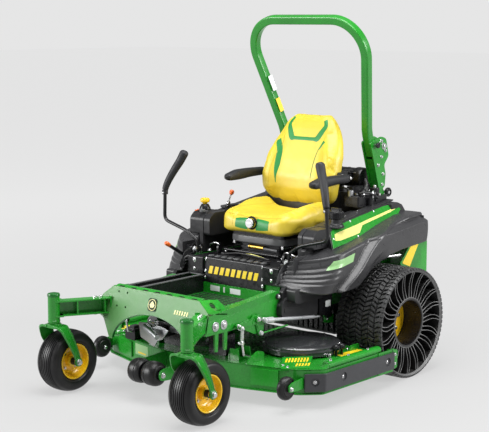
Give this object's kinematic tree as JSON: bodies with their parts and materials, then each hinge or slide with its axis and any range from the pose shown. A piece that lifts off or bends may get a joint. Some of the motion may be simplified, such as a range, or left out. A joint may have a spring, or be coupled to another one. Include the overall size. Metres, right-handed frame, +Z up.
{
  "type": "zero turn mower",
  "caption": "Ride-on zero turn mower with swivel front casters, airless drive wheels, folding roll bar, sprung seat, twin steering levers and a lifting mid-mount deck.",
  "frame": {"origin": "on the ground, under the middle of the machine's bounding box", "axes": "+Z up, -Y towards the front casters, +X towards the machine's left side"},
  "size_m": [1.58, 1.956, 1.981],
  "materials": {
    "green_paint": "satin powder coat",
    "pale_green_paint": "satin powder coat, a pale green",
    "yellow_paint": "satin enamel",
    "black_plastic": "fine moulded grain",
    "grey_plastic": "fine moulded grain",
    "black_steel": "semi gloss black powder coat",
    "soft_black": "soft touch foam skin",
    "tyre_rubber": "matte black rubber",
    "roller_rubber": "satin black rubber",
    "seat_vinyl": "smooth grained vinyl",
    "steel": "zinc plated",
    "engine_metal": "black cast finish",
    "yellow_plastic": "gloss moulded",
    "orange_plastic": "gloss moulded"
  },
  "bodies": {
    "chassis": {"frame_rail_left": "green_paint", "frame_rail_right": "green_paint", "rear_crossmember": "green_paint", "front_cross_plate": "pale_green_paint", "caster_arm_left": "green_paint", "caster_arm_right": "green_paint", "floor_pan": "black_steel", "fender_left": "black_plastic", "fender_right": "black_plastic", "console_left": "black_plastic", "console_right": "black_plastic", "rear_bumper": "green_paint", "engine_block": "engine_metal", "engine_shroud": "black_plastic", "air_cleaner": "black_plastic", "transaxle_left": "engine_metal", "transaxle_right": "engine_metal", "rops_post_left": "green_paint", "rops_post_right": "green_paint"},
    "crankshaft": {"engine_fan": "engine_metal"},
    "roll_bar": {"rops_hoop": "green_paint"},
    "caster_swivel_left": {"caster_fork_left": "green_paint"},
    "caster_wheel_left": {"caster_rim_left": "yellow_paint", "caster_tyre_left": "tyre_rubber"},
    "drive_wheel_left": {"rear_tyre_left": "tyre_rubber", "rear_rim_left": "yellow_paint"},
    "caster_swivel_right": {"caster_fork_right": "green_paint"},
    "caster_wheel_right": {"caster_rim_right": "yellow_paint", "caster_tyre_right": "tyre_rubber"},
    "drive_wheel_right": {"rear_tyre_right": "tyre_rubber", "rear_rim_right": "yellow_paint"},
    "seat_platform": {"seat_base": "grey_plastic"},
    "seat": {"seat_cushion": "seat_vinyl", "seat_back": "seat_vinyl"},
    "suspension_dial": {"suspension_knob": "steel"},
    "armrest_left": {"armrest_left": "soft_black"},
    "lever_base_left": {"lever_pivot_left": "steel"},
    "steering_lever_left": {"lever_left": "black_steel", "lever_grip_left": "soft_black"},
    "armrest_right": {"armrest_right": "soft_black"},
    "lever_base_right": {"lever_pivot_right": "steel"},
    "steering_lever_right": {"lever_right": "black_steel", "lever_grip_right": "soft_black"},
    "deck": {"deck_shell": "green_paint", "belt_cover_left": "black_plastic", "belt_cover_right": "black_plastic", "side_bumper_left": "black_plastic", "side_bumper_right": "black_plastic"},
    "spindle_centre": {"spindle_centre": "steel"},
    "spindle_left": {"spindle_left": "steel"},
    "spindle_right": {"spindle_right": "steel"},
    "centre_roller": {"centre_roller": "roller_rubber"},
    "corner_wheel_left": {"corner_wheel_left": "roller_rubber"},
    "bellcrank_left": {"lift_bellcrank_left": "green_paint"},
    "corner_wheel_right": {"corner_wheel_right": "roller_rubber"},
    "bellcrank_right": {"lift_bellcrank_right": "green_paint"},
    "pto_knob": {"pto_knob": "yellow_plastic"},
    "fuel_cap": {"fuel_cap": "black_plastic"},
    "throttle_lever": {"throttle_lever": "orange_plastic"},
    "deck_lift_lever": {"deck_lift_lever": "orange_plastic"}
  },
  "joints": [
    {"name": "crank_spin", "type": "hinge", "parent": "chassis", "child": "crankshaft", "pos_m": [0, 0.805, 0.9], "axis": [0, 0, 1], "continuous": true},
    {"name": "rops_fold", "type": "hinge", "parent": "chassis", "child": "roll_bar", "pos_m": [0, 0.899, 1.23156], "axis": [1, 0, 0], "range_deg": [-100, 0]},
    {"name": "caster_swivel_left", "type": "hinge", "parent": "chassis", "child": "caster_swivel_left", "pos_m": [0.479, -0.9, 0.45], "axis": [0, 0, 1], "continuous": true},
    {"name": "caster_roll_left", "type": "hinge", "parent": "caster_swivel_left", "child": "caster_wheel_left", "pos_m": [0.479, -0.813, 0.165], "axis": [1, 0, 0], "continuous": true},
    {"name": "drive_roll_left", "type": "hinge", "parent": "chassis", "child": "drive_wheel_left", "pos_m": [0.6145, 0.595, 0.305], "axis": [1, 0, 0], "continuous": true},
    {"name": "caster_swivel_right", "type": "hinge", "parent": "chassis", "child": "caster_swivel_right", "pos_m": [-0.479, -0.9, 0.45], "axis": [0, 0, 1], "continuous": true},
    {"name": "caster_roll_right", "type": "hinge", "parent": "caster_swivel_right", "child": "caster_wheel_right", "pos_m": [-0.479, -0.813, 0.165], "axis": [1, 0, 0], "continuous": true},
    {"name": "drive_roll_right", "type": "hinge", "parent": "chassis", "child": "drive_wheel_right", "pos_m": [-0.6145, 0.595, 0.305], "axis": [1, 0, 0], "continuous": true},
    {"name": "seat_tilt", "type": "hinge", "parent": "chassis", "child": "seat_platform", "pos_m": [0, 0.165, 0.69], "axis": [1, 0, 0], "range_deg": [0, 45]},
    {"name": "seat_slide", "type": "slide", "parent": "seat_platform", "child": "seat", "axis": [0, 1, 0], "range_m": [-0.06, 0.025]},
    {"name": "suspension_dial_turn", "type": "hinge", "parent": "seat", "child": "suspension_dial", "pos_m": [0, 0.13, 0.838], "axis": [0, 1, 0], "continuous": true},
    {"name": "armrest_fold_left", "type": "hinge", "parent": "seat", "child": "armrest_left", "pos_m": [0.309, 0.589, 1.072], "axis": [1, 0, 0], "range_deg": [-90, 0]},
    {"name": "lever_drive_left", "type": "hinge", "parent": "chassis", "child": "lever_base_left", "pos_m": [0.334, 0.048, 0.667], "axis": [1, 0, 0], "range_deg": [-12, 14]},
    {"name": "lever_swing_left", "type": "hinge", "parent": "lever_base_left", "child": "steering_lever_left", "pos_m": [0.334, 0.048, 0.667], "axis": [0, 1, 0], "range_deg": [-15, 0]},
    {"name": "armrest_fold_right", "type": "hinge", "parent": "seat", "child": "armrest_right", "pos_m": [-0.309, 0.589, 1.072], "axis": [1, 0, 0], "range_deg": [-90, 0]},
    {"name": "lever_drive_right", "type": "hinge", "parent": "chassis", "child": "lever_base_right", "pos_m": [-0.334, 0.048, 0.667], "axis": [1, 0, 0], "range_deg": [-12, 14]},
    {"name": "lever_swing_right", "type": "hinge", "parent": "lever_base_right", "child": "steering_lever_right", "pos_m": [-0.334, 0.048, 0.667], "axis": [0, 1, 0], "range_deg": [0, 15]},
    {"name": "deck_lift", "type": "slide", "parent": "chassis", "child": "deck", "axis": [0, 0, 1], "range_m": [-0.025, 0.06]},
    {"name": "spindle_turn_centre", "type": "hinge", "parent": "deck", "child": "spindle_centre", "pos_m": [0, -0.165, 0.15], "axis": [0, 0, 1], "continuous": true},
    {"name": "spindle_turn_left", "type": "hinge", "parent": "deck", "child": "spindle_left", "pos_m": [0.5, 0.01, 0.15], "axis": [0, 0, 1], "continuous": true},
    {"name": "spindle_turn_right", "type": "hinge", "parent": "deck", "child": "spindle_right", "pos_m": [-0.5, 0.01, 0.15], "axis": [0, 0, 1], "continuous": true},
    {"name": "centre_roller_turn", "type": "hinge", "parent": "deck", "child": "centre_roller", "pos_m": [0, -0.695, 0.157], "axis": [1, 0, 0], "continuous": true},
    {"name": "corner_wheel_turn_left", "type": "hinge", "parent": "deck", "child": "corner_wheel_left", "pos_m": [0.67, -0.384, 0.126], "axis": [1, 0, 0], "continuous": true},
    {"name": "bellcrank_turn_left", "type": "hinge", "parent": "chassis", "child": "bellcrank_left", "pos_m": [0.39, -0.29, 0.425], "axis": [1, 0, 0], "range_deg": [-26, 11]},
    {"name": "corner_wheel_turn_right", "type": "hinge", "parent": "deck", "child": "corner_wheel_right", "pos_m": [-0.67, -0.384, 0.126], "axis": [1, 0, 0], "continuous": true},
    {"name": "bellcrank_turn_right", "type": "hinge", "parent": "chassis", "child": "bellcrank_right", "pos_m": [-0.39, -0.29, 0.425], "axis": [1, 0, 0], "range_deg": [-26, 11]},
    {"name": "pto_pull", "type": "slide", "parent": "chassis", "child": "pto_knob", "axis": [0, 0, 1], "range_m": [0, 0.012]},
    {"name": "fuel_cap_turn", "type": "hinge", "parent": "chassis", "child": "fuel_cap", "pos_m": [0.44, 0.32, 0.9], "axis": [0, 0, 1], "continuous": true},
    {"name": "throttle_turn", "type": "hinge", "parent": "chassis", "child": "throttle_lever", "pos_m": [-0.412, 0.4, 0.886], "axis": [1, 0, 0], "range_deg": [-20, 25]},
    {"name": "deck_lift_lever_turn", "type": "hinge", "parent": "chassis", "child": "deck_lift_lever", "pos_m": [-0.388, 0.02, 0.62], "axis": [1, 0, 0], "range_deg": [-11, 26]}
  ],
  "couplings": [
    {"joint": "spindle_turn_left", "follows": "spindle_turn_centre", "ratio": 1},
    {"joint": "spindle_turn_right", "follows": "spindle_turn_centre", "ratio": 1},
    {"joint": "bellcrank_turn_left", "follows": "deck_lift", "rad_per_m": -7.25},
    {"joint": "bellcrank_turn_right", "follows": "deck_lift", "rad_per_m": -7.25},
    {"joint": "deck_lift_lever_turn", "follows": "deck_lift", "rad_per_m": 7.25}
  ]
}
